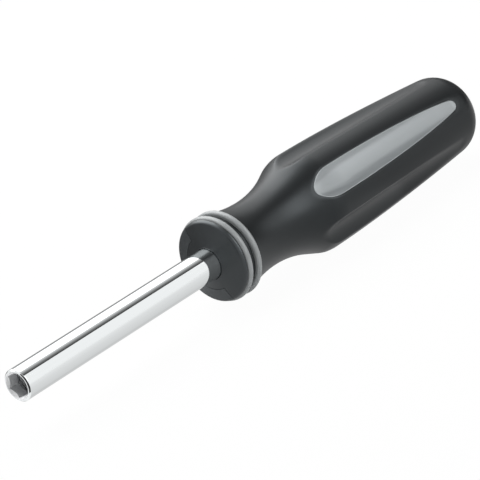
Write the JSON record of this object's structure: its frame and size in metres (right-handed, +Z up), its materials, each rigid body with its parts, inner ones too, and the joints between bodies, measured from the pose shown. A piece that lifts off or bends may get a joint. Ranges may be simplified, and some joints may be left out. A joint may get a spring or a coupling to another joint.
{
  "type": "bit holder screwdriver",
  "caption": "Hand screwdriver with a chromed round shank whose magnetic hexagon socket takes loose bits, in a fluted black and grey handle.",
  "frame": {"origin": "below the middle of the tool, on the surface that the handle's two lowest ridges rest on", "axes": "+X along the tool from the socket's mouth to the butt, +Z up, with the front inlay facing -Y and up"},
  "size_m": [0.192, 0.0308, 0.0293],
  "materials": {
    "chromed_steel": "mirror bright",
    "magnet_steel": "satin",
    "spring_steel": "satin",
    "black_core_plastic": "satin",
    "black_soft_grip": "satin",
    "grey_plastic": "satin"
  },
  "bodies": {
    "root": {"bit_holder_shank": "chromed_steel", "bit_magnet": "magnet_steel", "bit_retaining_ring": "spring_steel", "handle_core": "black_core_plastic", "soft_grip": "black_soft_grip", "nose_cap": "black_soft_grip", "collar_ring_front": "grey_plastic", "collar_band": "black_soft_grip", "collar_ring_rear": "grey_plastic", "label_inlay_front": "grey_plastic", "label_inlay_back": "grey_plastic"}
  },
  "joints": []
}
